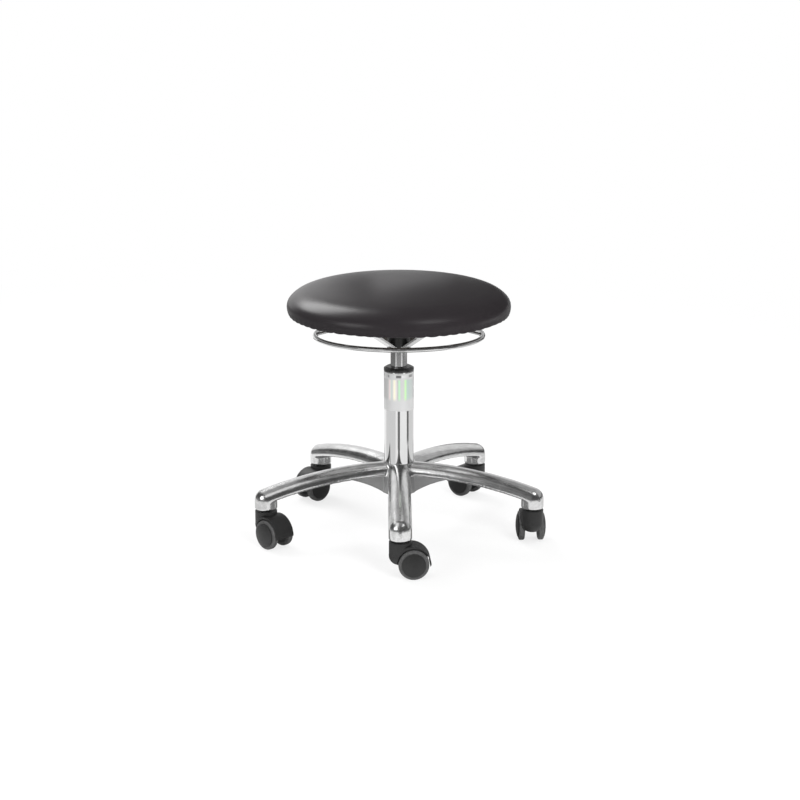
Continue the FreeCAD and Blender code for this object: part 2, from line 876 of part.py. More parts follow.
def seat_outline(inset):
    """Arcs of the cushion's crown and sides, drawn in by an inset, and its last point."""
    radii = [0.0, dome_radius, slope_radius, shoulder_radius, edge_radius]
    degrees = (crown_turn, dome_turn, slope_turn, shoulder_turn, edge_turn)
    turns = [math.radians(turn) for turn in degrees]
    spread = sum(
        radius * (math.sin(b) - math.sin(a)) for radius, a, b in zip(radii[1:], turns, turns[1:])
    )
    radii[0] = (seat_radius - spread) / math.sin(turns[0])
    fall = sum(
        radius * (math.cos(a) - math.cos(b)) for radius, a, b in zip(radii, [0.0] + turns, turns)
    )
    radii.append(side_radius)
    turns.append(math.acos((fall - seat_height_above_board) / side_radius))
    edges = []
    x, z = 0.0, seat_top_z
    before = 0.0
    for radius, turn in zip(radii, turns):
        centre_x = x - radius * math.sin(before)
        centre_z = z - radius * math.cos(before)
        shrunk = radius - inset
        angles = (before, 0.5 * (before + turn), turn)
        points = [
            vector(centre_x + shrunk * math.sin(a), 0, centre_z + shrunk * math.cos(a)) for a in angles
        ]
        edges.append(Part.Arc(*points).toShape())
        x = centre_x + radius * math.sin(turn)
        z = centre_z + radius * math.cos(turn)
        before = turn
    return edges, points[2]


def seat_foam():
    edges, end = seat_outline(cover_thickness + soft_clearance)
    board_top = board_high_z + tee_nut_flange_thickness + soft_clearance
    board_side = board_radius + soft_clearance
    start = vector(0, 0, seat_top_z - cover_thickness - soft_clearance)
    corners = [
        end,
        vector(board_side, 0, end.z),
        vector(board_side, 0, board_top),
        vector(0, 0, board_top),
        start,
    ]
    edges += [Part.LineSegment(a, b).toShape() for a, b in zip(corners, corners[1:])]
    return turned(edges)


def seat_cover():
    """Skin over the foam, pulled round the board's edge and stapled under it."""
    outer, outer_end = seat_outline(0.0)
    inner, inner_end = seat_outline(cover_thickness)
    corners = [
        outer_end,
        vector(outer_end.x, 0, hem_low_z),
        vector(hem_inner_radius, 0, hem_low_z),
        vector(hem_inner_radius, 0, hem_high_z),
        vector(inner_end.x, 0, hem_high_z),
        inner_end,
    ]
    edges = outer + inner
    edges += [Part.LineSegment(a, b).toShape() for a, b in zip(corners, corners[1:])]
    crown = vector(0, 0, seat_top_z)
    crown_inner = vector(0, 0, seat_top_z - cover_thickness)
    edges.append(Part.LineSegment(crown_inner, crown).toShape())
    return turned(edges)


def cover_staples():
    """Wire staples along the hem, driven through the cover into the board."""
    low = hem_low_z - staple_wire
    inner = hem_inner_radius + staple_inset - 0.5 * staple_wire
    outer = inner + staple_wire
    half = 0.5 * staple_span
    leg_top = hem_low_z + staple_leg
    staple = block((inner, -half, low), (outer, half, hem_low_z)).fuse([
        block((inner, -half, low), (outer, -half + staple_wire, leg_top)),
        block((inner, half - staple_wire, low), (outer, half, leg_top)),
    ])
    return Part.makeCompound(repeated(staple.removeSplitter(), staple_count))


save(base_star(), "base_star")
save(castor_stems(), "castor_stems")
save(stem_grip_rings(), "stem_grip_rings")
save_castors()
save(column_tube(), "column_tube")
save(guide_bushing(), "guide_bushing")
save(column_label(), "column_label")
save(piston_rod(), "piston_rod")
save(retaining_clip(), "retaining_clip")
save(thrust_race_lower(), "thrust_race_lower")
save(thrust_race_upper(), "thrust_race_upper")
save(thrust_balls(), "thrust_balls")
save(thrust_cage(), "thrust_cage")
save(rubber_buffer(), "rubber_buffer")
save(gas_cylinder(), "gas_cylinder")
save(cylinder_gland(), "cylinder_gland")
save(release_pin(), "release_pin")
save(taper_socket(), "taper_socket")
save(lever_bracket(), "lever_bracket")
save(lever_pivot_pin(), "lever_pivot_pin")
save(support_arms(), "support_arms")
save(tilted(ring_wire()), "lever_ring")
save(lever_plate(), "lever_plate")
save(lever_spokes(), "lever_spokes")
save(seat_board(), "seat_board")
save(mounting_bolts(), "mounting_bolts")
save(tee_nuts(), "tee_nuts")
save(seat_foam(), "seat_foam")
save(seat_cover(), "seat_cover")
save(cover_staples(), "cover_staples")
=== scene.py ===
import math

import bmesh
import bpy
from mathutils import Matrix, Vector


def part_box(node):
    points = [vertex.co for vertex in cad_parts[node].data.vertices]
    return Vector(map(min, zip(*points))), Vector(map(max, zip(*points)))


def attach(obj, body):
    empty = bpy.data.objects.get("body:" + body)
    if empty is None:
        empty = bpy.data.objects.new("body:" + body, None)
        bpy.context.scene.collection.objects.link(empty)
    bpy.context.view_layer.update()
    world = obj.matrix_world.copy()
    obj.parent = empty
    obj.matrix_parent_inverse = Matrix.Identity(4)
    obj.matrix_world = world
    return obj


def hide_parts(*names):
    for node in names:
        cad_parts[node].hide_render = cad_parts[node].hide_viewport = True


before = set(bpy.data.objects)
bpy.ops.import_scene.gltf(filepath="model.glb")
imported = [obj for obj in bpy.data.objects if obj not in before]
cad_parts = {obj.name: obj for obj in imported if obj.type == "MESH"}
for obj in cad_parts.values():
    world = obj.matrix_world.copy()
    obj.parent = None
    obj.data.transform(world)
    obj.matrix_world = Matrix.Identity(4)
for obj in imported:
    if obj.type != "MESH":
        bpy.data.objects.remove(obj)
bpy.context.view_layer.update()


# Camera and lamps: a long lens a little above the seat, a large soft lamp behind the stool on the left,
# two smaller ones above it, and a broad one in front that lights the black pieces and isn't mirrored.
camera_pitch = 0.26659
camera = bpy.data.objects.new("camera", bpy.data.cameras.new("camera"))
camera.data.lens = 97.749
camera.location = (0.001942, -3.548368, 1.200108)
camera.rotation_euler = (math.pi / 2 - camera_pitch, 0.0, 0.0)
bpy.context.collection.objects.link(camera)
bpy.context.scene.camera = camera
bpy.context.scene.view_settings.view_transform = "Standard"

lamps = {
    "softbox": {"place": (-1.40, 1.70, 2.36), "size": 1.8, "power": 56.0, "mirrored": True},
    "spot_left": {"place": (-1.62, -1.48, 1.15), "size": 1.2, "power": 10.4, "mirrored": True},
    "spot_right": {"place": (1.0, -0.95, 2.5), "size": 1.0, "power": 7.0, "mirrored": True},
    "lamp_front": {"place": (1.4, -2.4, 1.4), "size": 1.2, "power": 60.0, "mirrored": False},
}
lamp_target = Vector((0.0, 0.0, 0.25))
for name, lamp in lamps.items():
    light = bpy.data.lights.new(name, "AREA")
    light.shape = "DISK"
    light.size = lamp["size"]
    light.energy = lamp["power"]
    holder = bpy.data.objects.new(name, light)
    holder.location = lamp["place"]
    aim = lamp_target - holder.location
    holder.rotation_euler = aim.to_track_quat("-Z", "Y").to_euler()
    holder.visible_glossy = lamp["mirrored"]
    bpy.context.collection.objects.link(holder)


# Surround and floor: a white room that gives the stool a plain light, and a pale floor that fades to
# white away from the stool, so that only a light shadow shows round the castors.
class Tone:
    """One output in a material's nodes. Operators on it add Math nodes."""

    def __init__(self, tree, output=None):
        self.tree = tree
        self.output = output

    def node(self, kind, settings, sockets, output=0):
        made = self.tree.nodes.new("ShaderNode" + kind)
        for name, value in settings.items():
            if name == "stops":
                for index, (position, colour) in enumerate(value):
                    if index > 1:
                        made.color_ramp.elements.new(position)
                    made.color_ramp.elements[index].position = position
                    made.color_ramp.elements[index].color = colour
            else:
                setattr(made, name, value)
        for socket, value in sockets.items():
            if isinstance(value, Tone):
                self.tree.links.new(value.output, made.inputs[socket])
            else:
                made.inputs[socket].default_value = value
        return Tone(self.tree, made.outputs[output])

    def maths(self, operation, first, second):
        return self.node("Math", {"operation": operation}, {0: first, 1: second})

    def __add__(self, other):
        return self.maths("ADD", self, other)

    __radd__ = __add__

    def __sub__(self, other):
        return self.maths("SUBTRACT", self, other)

    def __rsub__(self, other):
        return self.maths("SUBTRACT", other, self)

    def __mul__(self, other):
        return self.maths("MULTIPLY", self, other)

    __rmul__ = __mul__

    def __pow__(self, exponent):
        return self.maths("POWER", self, exponent)

    def larger(self, other):
        return self.maths("MAXIMUM", self, other)

    def along(self, axis):
        """One coordinate of this place, in metres."""
        return self.node("SeparateXYZ", {}, {0: self}, axis)

    def between(self, low, high):
        """0 below low and 1 above high, with a smooth step from one to the other."""
        settings = {"interpolation_type": "SMOOTHSTEP"}
        return self.node("MapRange", settings, {"Value": self, "From Min": low, "From Max": high})

    def blend(self, first, second):
        """The first colour where this is 0 and the second where it is 1."""
        return self.node("Mix", {"data_type": "RGBA"}, {0: self, 6: first, 7: second}, 2)

    def ramp(self, stops):
        """The colours of these stops, as this goes from 0 to 1."""
        return self.node("ValToRGB", {"stops": stops}, {"Fac": self})

    def grain(self, scale, detail=3.0, roughness=0.5):
        """Noise over the place that this holds, with about this many spots in a metre."""
        sockets = {"Vector": self, "Scale": scale, "Detail": detail, "Roughness": roughness}
        return self.node("TexNoise", {}, sockets)

    def stretched(self, x, y, z):
        """This place, with its axes stretched before a pattern is laid on it."""
        return self.node("Mapping", {}, {"Vector": self, "Scale": (x, y, z)})


def grey(level, warmth=0.0):
    return (level + warmth, level, level - warmth, 1.0)


def looked_at(tree):
    """1 for what the camera sees, also in metal and through glass, and 0 for light on the object."""
    rays = [Tone(tree).node("LightPath", {}, {}, "Is %s Ray" % kind) for kind in ("Camera", "Glossy")]
    through = Tone(tree).node("LightPath", {}, {}, "Is Transmission Ray")
    return through.larger(rays[0].larger(rays[1]))


def staged(name, shape, material):
    """A studio object, which isn't part of the stool, from a bmesh."""
    mesh = bpy.data.meshes.new(name)
    shape.to_mesh(mesh)
    shape.free()
    mesh.materials.append(material)
    thing = bpy.data.objects.new(name, mesh)
    bpy.context.collection.objects.link(thing)
    return thing


room_light = 0.55
world = bpy.data.worlds.new("surround")
world.use_nodes = True
bpy.context.scene.world = world
backdrop = world.node_tree.nodes["Background"]
backdrop.inputs["Color"].default_value = grey(1.0)
strength = room_light + looked_at(world.node_tree) * (1.0 - room_light)
world.node_tree.links.new(strength.output, backdrop.inputs["Strength"])

floor_radius = 3.0
fade_start = 0.7
fade_end = 2.2
shadow_share = 0.27
floor_paint = bpy.data.materials.new("floor_paint")
floor_paint.use_nodes = True
plain_paint = floor_paint.node_tree.nodes["Principled BSDF"]
plain_paint.inputs["Base Color"].default_value = grey(0.8)
plain_paint.inputs["Roughness"].default_value = 0.9
plain_paint.inputs["Specular IOR Level"].default_value = 0.0
plain = Tone(floor_paint.node_tree, plain_paint.outputs[0])
shaded = plain.node("BsdfDiffuse", {}, {"Color": grey(shadow_share)})
lit = plain.node("Emission", {}, {"Strength": 1.0 - shadow_share})
near_floor = plain.node("AddShader", {}, {0: shaded, 1: lit})
far_floor = plain.node("Emission", {}, {"Strength": 1.0})
floor_place = plain.node("TexCoord", {}, {}, "Object")
distance = plain.node("VectorMath", {"operation": "LENGTH"}, {0: floor_place}, "Value")
away = distance.between(fade_start, fade_end)
white_floor = plain.node("MixShader", {}, {0: away, 1: near_floor, 2: far_floor})
seen = looked_at(floor_paint.node_tree)
floor_look = plain.node("MixShader", {}, {0: seen, 1: plain, 2: white_floor})
floor_paint.node_tree.links.new(
    floor_look.output, floor_paint.node_tree.nodes["Material Output"].inputs[0]
)
ground = bmesh.new()
bmesh.ops.create_circle(ground, cap_ends=True, segments=96, radius=floor_radius)
staged("studio_floor", ground, floor_paint)


# Mirrored cloths: plain grey sheets that hang and lie round the stool, as the cards in a photo studio
# do. Only reflections show them, and they give the bright metal its dark and light streaks.
def mirrored_cloth(name, shape, level):
    """A cloth of one plain grey, which only reflections show."""
    cloth = bpy.data.materials.new(name)
    cloth.use_nodes = True
    threads = cloth.node_tree.nodes["Principled BSDF"]
    threads.inputs["Base Color"].default_value = grey(0.0)
    threads.inputs["Specular IOR Level"].default_value = 0.0
    threads.inputs["Emission Color"].default_value = grey(level)
    threads.inputs["Emission Strength"].default_value = 1.0
    thing = staged(name, shape, cloth)
    thing.visible_camera = False
    thing.visible_diffuse = False
    thing.visible_shadow = False


def heading(bearing, distance, height):
    """A place at a bearing, counted from +X, round the stool."""
    turn = math.radians(bearing)
    return (distance * math.cos(turn), distance * math.sin(turn), height)


def hung_cloth(name, distance, low, tops, level):
    """A cloth that hangs round the stool, with its upper edge through (bearing, height) pairs."""
    shape = bmesh.new()
    lower = [heading(bearing, distance, low) for bearing, top in tops]
    upper = [heading(bearing, distance, top) for bearing, top in tops]
    for line in (lower, upper):
        points = [shape.verts.new(place) for place in line]
        for pair in zip(points, points[1:]):
            shape.edges.new(pair)
    bmesh.ops.bridge_loops(shape, edges=shape.edges[:])
    mirrored_cloth(name, shape, level)


def laid_cloth(name, first, last, near, far, height, level):
    """A level cloth between two bearings and two distances from the column."""
    shape = bmesh.new()
    ends = [shape.verts.new(heading(first, distance, height)) for distance in (near, far)]
    side = shape.edges.new(ends)
    bmesh.ops.spin(
        shape, geom=ends + [side], cent=(0, 0, 0), axis=(0, 0, 1), dvec=(0, 0, 0),
        angle=math.radians(last - first), steps=24, use_merge=last - first == 360,
    )
    mirrored_cloth(name, shape, level)


# The ceiling, and what hangs from it all round except behind the stool on the left.
ceiling = 2.9
laid_cloth("ceiling_cloth", 0, 360, 0.0, 5.3, ceiling, 0.10)
for name, distance, low, first, last, level in (
    ("back_cloth", 5.3, 0.8, 40, 95, 0.10),
    ("left_cloth", 4.0, 0.0, -225, -100, 0.20),
    ("front_cloth", 4.0, 0.0, -100, -10, 0.09),
    ("right_cloth", 4.0, 0.0, -10, 65, 0.06),
):
    tops = [(bearing, ceiling) for bearing in range(first, last + 1, 5)]
    hung_cloth(name, distance, low, tops, level)

# Two cards behind the seat, whose upper edges slope as the shine on its crown does.
hung_cloth("low_cloth", 0.6, 0.44, ((70, 0.46), (79, 0.51), (96, 0.51)), 0.36)
hung_cloth("high_cloth", 0.6, 0.51, ((79, 0.53), (86, 0.59), (90, 0.64), (96, 0.70)), 0.80)

# Strips on the floor, mirrored by the arms' sides, the column and, from 1 m out, the gas cylinder.
for name, first, last, near, far, height, level in (
    ("front_strip", -99, -81, 0.52, 1.0, 0.002, 0.22),
    ("right_strip", -26, -8, 0.56, 2.8, 0.002, 0.18),
    ("left_strip", -205, -115, 0.34, 1.0, 0.002, 0.82),
    ("right_back_strip", -6, 95, 0.34, 1.0, 0.002, 0.84),
    ("cylinder_left", -265, -138, 1.0, 1.3, 0.003, 0.22),
    ("cylinder_left_glow", -138, -122, 1.0, 1.3, 0.003, 1.0),
    ("cylinder_front", -122, -56, 1.0, 1.3, 0.003, 0.40),
    ("cylinder_right", -40, 95, 1.0, 1.3, 0.003, 0.30),
    ("outer_strip", -225, -50, 1.3, 4.0, 0.003, 0.11),
    ("right_outer_strip", 30, 88, 1.45, 5.3, 0.003, 0.05),
):
    laid_cloth(name, first, last, near, far, height, level)
hung_cloth("right_kerb", 5.2, 0.0, [(bearing, 0.85) for bearing in range(40, 89, 4)], 0.05)
hung_cloth("front_kerb", 1.32, 0.0, [(bearing, 0.13) for bearing in range(-165, -24, 5)], 0.10)

# The shade below the stool, a frame round the right lamp, and what the arms' tops mirror: the shaded
# space and the glints under the seat, and the room beyond its rim.
for name, first, last, near, far, height, level in (
    ("shade_disc", 0, 360, 0.03, 0.24, 0.0015, 0.25),
    ("shade_behind", 55, 92, 0.24, 0.34, 0.0015, 0.25),
    ("lamp_surround", -70, -10, 0.5, 2.6, 2.88, 0.30),
    ("arm_sky_middle", 0, 360, 0.045, 0.12, 0.350, 0.42),
    ("arm_glint_left", 290, 350, 0.05, 0.12, 0.349, 0.95),
    ("arm_glint_right", 228, 256, 0.22, 0.52, 0.384, 0.95),
    ("arm_sky_hem", 0, 360, 0.165, 0.20, 0.384, 0.30),
    ("arm_sky", -15, 225, 0.20, 0.40, 0.385, 0.36),
    ("arm_sky_front", 225, 295, 0.20, 0.40, 0.385, 0.24),
    ("arm_sky_right", -15, 45, 0.40, 1.6, 0.385, 0.48),
    ("arm_sky_back", 45, 138, 0.40, 2.4, 0.385, 0.80),
    ("arm_sky_left", 138, 205, 0.40, 1.8, 0.385, 0.08),
):
    laid_cloth(name, first, last, near, far, height, level)


# Base: five hollow arms and their webs on a hub, cast in one piece of aluminium. The arms' tops and
# rounded ends are ground and polished by hand, which leaves soft corners, belt marks and an uneven
# shine. The webs and the arms' hollow sides stay as cast, and are painted darker than the polished
# metal: partly for the duller cast skin, partly as painted shade under the arms.
class Finish:
    """A material under construction: its shader's constants, and what varies over the surface."""

    def __init__(self, name, constants):
        self.material = bpy.data.materials.new(name)
        self.material.use_nodes = True
        self.shader = self.material.node_tree.nodes["Principled BSDF"]
        for socket, value in constants.items():
            self.shader.inputs[socket].default_value = value
        self.place = Tone(self.material.node_tree).node("TexCoord", {}, {}, "Object")

    def vary(self, socket, tone):
        self.material.node_tree.links.new(tone.output, self.shader.inputs[socket])

    def emboss(self, height, strength, distance):
        """Bumps from a height between 0 and 1, over this distance in metres."""
        sockets = {"Height": height, "Strength": strength, "Distance": distance}
        self.vary("Normal", height.node("Bump", {}, sockets, "Normal"))


def add_piece(name, mesh, finish, body):
    """A piece of the stool from a mesh that is already in its place."""
    mesh.materials.clear()
    mesh.materials.append(finish.material)
    piece = bpy.data.objects.new(name, mesh)
    bpy.context.collection.objects.link(piece)
    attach(piece, body)
    return piece


def softened(node, grid, rounds):
    """Copy of a node's mesh as one even skin of small faces, with its corners worn round."""
    block = bmesh.new()
    block.from_mesh(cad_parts[node].data)
    bmesh.ops.remove_doubles(block, verts=block.verts, dist=0.00001)
    mesh = bpy.data.meshes.new(node + "_skin")
    block.to_mesh(mesh)
    block.free()
    piece = bpy.data.objects.new(node + "_skin", mesh)
    bpy.context.collection.objects.link(piece)
    skin = piece.modifiers.new("skin", "REMESH")
    skin.mode = "VOXEL"
    skin.voxel_size = grid
    skin.use_smooth_shade = True
    wear = piece.modifiers.new("wear", "SMOOTH")
    wear.factor = 0.5
    wear.iterations = rounds
    view = bpy.context.evaluated_depsgraph_get()
    result = bpy.data.meshes.new_from_object(piece.evaluated_get(view))
    bpy.data.objects.remove(piece)
    return result


casting_grid = 0.0016
casting_wear = 6
arch_radius = 0.685
arch_start = 0.04235
arch_drop = 0.58095
dome_start = 0.205
dome_end = 0.212
casting = Finish("polished_casting", {"Metallic": 1.0})
east = casting.place.along("X")
north = casting.place.along("Y")
upward = casting.place.along("Z")
outward = (east * east + north * north) ** 0.5
bearing = north.maths("ARCTAN2", north, east)
arm_place = {0: 7.0 * outward, 1: 26.0 * bearing, 2: 90.0 * upward}
belt_marks = casting.place.node("CombineXYZ", {}, arm_place).grain(3.2, 5.0, 0.62)
cloudy = casting.place.grain(38.0, 4.0, 0.6)
speckle = casting.place.grain(420.0, 3.0, 0.65)
hand_marks = casting.place.grain(105.0, 2.0, 0.6)
from_crown = outward - arch_start
arch = (arch_radius ** 2 - from_crown * from_crown) ** 0.5
above_arch = (upward - arch + arch_drop).between(-0.003, -0.001)
polish = above_arch.larger(outward.between(dome_start, dome_end))
# Darker grey under the arms' tops: partly the dull cast skin, partly painted shade below the arms.
cast_and_shaded = cloudy.blend(grey(0.54), grey(0.76))
buffed = (0.4 * cloudy + 0.6 * belt_marks).between(0.30, 0.70).blend(grey(0.62), grey(0.80))
dulled = 0.08 * cloudy.between(0.35, 0.75) + 0.06 * belt_marks
relief = 0.15 * cloudy + 0.4 * speckle + 0.4 * belt_marks + 0.7 * hand_marks
casting.vary("Base Color", polish.blend(cast_and_shaded, buffed))
casting.vary("Roughness", 0.52 - 0.38 * polish + dulled)
casting.emboss(relief, 0.30, 0.0006)
star_mesh = softened("base_star", casting_grid, casting_wear)
star = add_piece("base_casting", star_mesh, casting, "base")
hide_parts("base_star")


# Column tube: a steel tube of 50 mm, bright chrome plated, which is pressed into the hub. Wiping leaves
# faint smears along it, and the plate shows the slight waves of the drawn tube.
def dress(finish, *names):
    """Gives modelled nodes a finish."""
    for name in names:
        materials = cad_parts[name].data.materials
        materials.clear()
        materials.append(finish.material)


chrome = Finish("chrome_plate", {"Metallic": 1.0, "Base Color": grey(0.72)})
smears = chrome.place.stretched(1.0, 1.0, 0.15).grain(90.0, 3.0, 0.6)
chrome.vary("Roughness", 0.03 + 0.07 * smears)
chrome.emboss(chrome.place.grain(16.0, 1.0), 0.05, 0.002)
dress(chrome, "column_tube")


# Label: a thin silvery foil stuck round the front of the tube, plain but for a band of upright rainbow
# stripes, as on diffraction foil. Along its upper edge runs a painted reflection: a row of light and
# dark streaks, placed where the chrome tube mirrors its own dark streaks.
label_low, label_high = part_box("column_label")
column_radius = 0.025
band_low = label_low.z + 0.016
band_high = label_high.z - 0.009
# The strip along the label's upper edge that carries the painted reflection.
painted_reflection_top = label_high.z - 0.0030
painted_reflection_bottom = painted_reflection_top - 0.0045
foil_stripes = (
    (0.00, grey(0.52)),
    (0.13, grey(0.62)),
    (0.205, (0.98, 0.84, 0.82, 1.0)),
    (0.245, (0.66, 0.76, 0.72, 1.0)),
    (0.29, grey(0.72)),
    (0.34, (1.00, 0.97, 0.74, 1.0)),
    (0.40, (0.92, 0.86, 0.82, 1.0)),
    (0.46, grey(0.60)),
    (0.51, (0.58, 0.95, 0.60, 1.0)),
    (0.57, grey(0.66)),
    (0.66, grey(0.66)),
    (0.72, (0.62, 0.95, 0.48, 1.0)),
    (0.78, (0.56, 0.68, 0.64, 1.0)),
    (1.00, grey(0.60)),
)
# Painted reflection: light chrome-like grey, dark where the tube's mirror shows its dark streaks.
foil_painted_reflection = (
    (0.00, grey(0.30)), (0.03, grey(0.70)), (0.12, grey(0.62)), (0.15, grey(0.26)), (0.20, grey(0.66)),
    (0.39, grey(0.70)), (0.42, grey(0.20)), (0.56, grey(0.20)), (0.60, grey(0.84)), (0.82, grey(0.66)),
    (0.86, grey(0.28)), (0.92, grey(0.30)), (0.97, grey(0.66)),
)
foil = Finish("label_foil", {"Metallic": 0.35})
across = foil.place.along("X") * (0.5 / column_radius) + 0.5
height = foil.place.along("Z")
below_band = 1.0 - height.between(band_high - 0.003, band_high)
band = height.between(band_low, band_low + 0.008) * below_band
below_painted_reflection = 1.0 - height.between(painted_reflection_top, painted_reflection_top + 0.001)
painted_reflection_row = height.between(painted_reflection_bottom, painted_reflection_bottom + 0.001) * below_painted_reflection
fading = foil.place.stretched(1.0, 1.0, 0.2).grain(120.0, 2.0)
striped = (band * (0.75 + 0.6 * fading)).blend(grey(0.68), across.ramp(foil_stripes))
# The upper edge takes the painted reflection in place of the plain foil and stripes.
foil.vary("Base Color", painted_reflection_row.blend(striped, across.ramp(foil_painted_reflection)))
foil.vary("Roughness", 0.30 + 0.12 * foil.place.grain(300.0))
foil.emboss(foil.place.grain(70.0, 2.0), 0.10, 0.0004)
dress(foil, "column_label")


# Guide bush: black acetal, moulded with a flange, which is pushed into the tube's top and guides the gas
# cylinder. Its skin is glossy and slightly wavy, as moulded acetal is.
moulded = Finish("moulded_black", {"Specular IOR Level": 0.5})
pits = moulded.place.grain(900.0, 2.0, 0.6)
moulded.vary("Base Color", pits.blend(grey(0.012), grey(0.022)))
moulded.vary("Roughness", 0.12 + 0.22 * moulded.place.grain(160.0))
moulded.emboss(moulded.place.grain(300.0, 2.0), 0.45, 0.0006)
dress(moulded, "guide_bushing")


# Gas spring: a ground steel cylinder that slides in the bush on its rod. The rod is clipped to the
# tube's floor through a ball bearing, with hardened races and a moulded cage, and a rubber sleeve on it
# stops the cylinder.
ground_steel = Finish("ground_steel", {"Metallic": 1.0})
turning = ground_steel.place.stretched(1.0, 1.0, 40.0).grain(30.0, 3.0)
ground_steel.vary("Base Color", turning.blend(grey(0.60), grey(0.70)))
ground_steel.vary("Roughness", 0.07 + 0.05 * turning)
ground_steel.emboss(turning, 0.03, 0.0002)
dress(ground_steel, "gas_cylinder", "piston_rod", "release_pin")
dress(ground_steel, "thrust_race_lower", "thrust_race_upper", "thrust_balls")
dress(moulded, "thrust_cage", "cylinder_gland")

plated = Finish("zinc_plate", {"Metallic": 1.0})
crystals = plated.place.grain(330.0, 3.0)
plated.vary("Base Color", crystals.blend(grey(0.52), grey(0.68, 0.01)))
plated.vary("Roughness", 0.22 + 0.2 * crystals)
plated.emboss(crystals, 0.1, 0.0002)
dress(plated, "retaining_clip")

rubber = Finish("stop_rubber", {"Specular IOR Level": 0.3})
bloom = rubber.place.grain(240.0)
rubber.vary("Base Color", bloom.blend(grey(0.018), grey(0.04)))
rubber.vary("Roughness", 0.6 + 0.25 * bloom)
dress(rubber, "rubber_buffer")


# Castors: hoods moulded in grained black nylon, which turn on zinc plated stems held in the arms' ends
# by spring rings. Each has two domed nylon wheels on a steel axle, with soft grey treads moulded on.
nylon = Finish("castor_nylon", {"Specular IOR Level": 0.45})
leather_grain = nylon.place.grain(1500.0, 2.0, 0.7)
nylon.vary("Base Color", nylon.place.grain(45.0).blend(grey(0.010), grey(0.020)))
nylon.vary("Roughness", 0.36 + 0.22 * leather_grain)
nylon.emboss(0.6 * leather_grain + 0.7 * nylon.place.grain(430.0, 2.0), 0.7, 0.0005)

tread = Finish("tread_rubber", {"Specular IOR Level": 0.4})
scuffs = tread.place.grain(180.0, 4.0, 0.65)
tread.vary("Base Color", scuffs.between(0.35, 0.75).blend(grey(0.062), grey(0.098)))
tread.vary("Roughness", 0.42 + 0.3 * scuffs)
tread.emboss(scuffs, 0.2, 0.0003)

for corner in ("front", "right_front", "right_rear", "left_rear", "left_front"):
    dress(nylon, corner + "_castor_housing")
    dress(plated, corner + "_castor_axle")
    for side in "ab":
        dress(nylon, corner + "_castor_wheel_" + side)
        dress(tread, corner + "_castor_tread_" + side)
dress(plated, "castor_stems", "stem_grip_rings")


# Socket: a short thick steel tube, bored to the taper of the gas cylinder's top and pushed onto it. The
# lever's folded bracket is welded on its top, and both are powder coated black.
black_coat = Finish("black_coat", {"Specular IOR Level": 0.5})
orange_peel = black_coat.place.grain(520.0, 2.0)
black_coat.vary("Base Color", orange_peel.blend(grey(0.010), grey(0.03)))
black_coat.vary("Roughness", 0.28 + 0.2 * black_coat.place.grain(110.0, 4.0, 0.7))
black_coat.emboss(orange_peel, 0.35, 0.0003)
dress(black_coat, "taper_socket", "lever_bracket")


# Support bars: four flat steel bars, bent and bright zinc plated, which rise from the socket's foot to
# the seat board and carry it.
bars = Finish("bright_bars", {"Metallic": 1.0})
rolling = bars.place.grain(150.0, 4.0)
bars.vary("Base Color", rolling.blend(grey(0.58), grey(0.74)))
bars.vary("Roughness", 0.16 + 0.2 * rolling)
bars.emboss(rolling, 0.12, 0.0003)
dress(bars, "support_arms")


# Bar welds: a bead above and one below each bar's foot, where it meets the socket. A bead is a run of
# small drops, as each pulse of the torch leaves one.
def weld_run(name, places, size, finish, body):
    """A weld bead as overlapping small drops at the given places."""
    drops = bmesh.new()
    for place in places:
        spot = Matrix.Translation(place)
        bmesh.ops.create_icosphere(drops, subdivisions=2, radius=size, matrix=spot)
    for face in drops.faces:
        face.smooth = True
    mesh = bpy.data.meshes.new(name)
    drops.to_mesh(mesh)
    drops.free()
    return add_piece(name, mesh, finish, body)


socket_low, socket_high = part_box("taper_socket")
socket_radius = socket_high.x
bar_half_width = 0.010
bar_foot_low = socket_low.z + 0.004
bar_foot_high = bar_foot_low + 0.0038
bar_drop = 0.0013
seam = []
for quarter in range(4):
    turn = Matrix.Rotation(math.radians(45 + 90 * quarter), 3, "Z")
    for index in range(11):
        side = bar_half_width * (0.2 * index - 1.0)
        out = math.sqrt(socket_radius ** 2 - side ** 2)
        for level in (bar_foot_low, bar_foot_high):
            seam.append(turn @ Vector((out, side, level)))
weld_run("support_welds", seam, bar_drop, bars, "seat")


# Ring lever: an 8 mm steel wire, bent to a ring all round the column, with two thinner slanting spokes
# to a plate that rocks on the bracket's pin. Ring and spokes are chrome plated after welding.
ring_wire = Finish("ring_chrome", {"Metallic": 1.0, "Base Color": grey(0.66)})
plating = ring_wire.place.grain(140.0, 3.0)
ring_wire.vary("Roughness", 0.05 + 0.12 * plating)
ring_wire.emboss(plating, 0.08, 0.0003)
dress(ring_wire, "lever_ring", "lever_spokes")
dress(bars, "lever_plate")
dress(plated, "lever_pivot_pin")


# Spoke welds: one small bead round each spoke's end, where it stands on the ring.
# They are plated with the ring, so they have its chrome.
ring_low, ring_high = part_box("lever_ring")
ring_middle = 0.5 * (ring_low + ring_high)
wire_radius = 0.004
spoke_radius = 0.0024
spoke_rise = 0.0374
spoke_drop = 0.0012
drops_round = 10
ring_reach = ring_high.x - wire_radius
seam = []
for side in (-1, 1):
    end = Vector((side * ring_reach, ring_middle.y, ring_middle.z))
    inward = Vector((-side * ring_reach, 0.0, spoke_rise)).normalized()
    across_spoke = Vector((inward.z, 0.0, -inward.x))
    for index in range(drops_round):
        turn = 2 * math.pi * index / drops_round
        around = math.cos(turn) * across_spoke + math.sin(turn) * Vector((0.0, 1.0, 0.0))
        seam.append(end + (wire_radius + 0.0003) * inward + spoke_radius * around)
weld_run("spoke_welds", seam, spoke_drop, ring_wire, "ring_lever")


